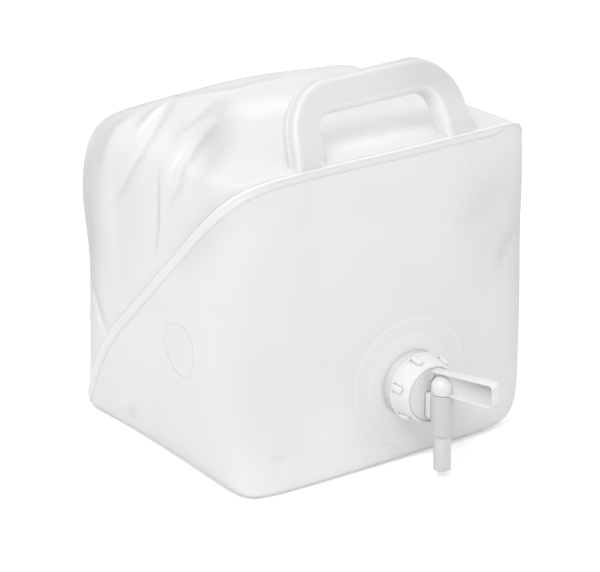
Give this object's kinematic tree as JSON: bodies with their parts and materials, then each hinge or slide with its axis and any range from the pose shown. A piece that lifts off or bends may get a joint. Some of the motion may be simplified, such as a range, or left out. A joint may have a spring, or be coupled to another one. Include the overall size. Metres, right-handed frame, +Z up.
{
  "type": "collapsible water carrier",
  "caption": "Collapsible moulded water carrier with a hollow loop handle, a slanting side seam, and a lever tap held on its screw neck by a lugged collar.",
  "frame": {"origin": "middle of the flat base, at floor level", "axes": "+Z up, -Y out of the front wall towards the tap's side, +X to the right of someone facing the tap"},
  "size_m": [0.2997, 0.3407, 0.3414],
  "materials": {
    "film": "satin",
    "tap_plastic": "satin",
    "washer_rubber": "matt"
  },
  "bodies": {
    "container": {"front_wall": "film", "lower_walls": "film", "upper_walls": "film", "handle_front": "film", "handle_rear": "film", "neck": "film"},
    "rear": {"rear_wall": "film"},
    "tap": {"tap_body": "tap_plastic", "neck_washer": "washer_rubber"},
    "collar": {"screw_collar": "tap_plastic"},
    "lever": {"tap_lever": "tap_plastic"}
  },
  "joints": [
    {"name": "collapse", "type": "slide", "parent": "container", "child": "rear", "axis": [0, -1, 0], "range_m": [0, 0.18], "deforming": ["lower_walls", "upper_walls"]},
    {"name": "tap_travel", "type": "slide", "parent": "container", "child": "tap", "axis": [0, -1, 0], "range_m": [0, 0.016]},
    {"name": "collar_turn", "type": "hinge", "parent": "tap", "child": "collar", "pos_m": [0.0265, -0.1467, 0.0685], "axis": [0, -1, 0], "range_deg": [0, 1080]},
    {"name": "lever_turn", "type": "hinge", "parent": "tap", "child": "lever", "pos_m": [0.0265, -0.1711, 0.0753], "axis": [0, 0, 1], "range_deg": [-23.5, 66.5]}
  ],
  "couplings": [
    {"joint": "tap_travel", "follows": "collar_turn", "m_per_rad": 0.000848}
  ]
}
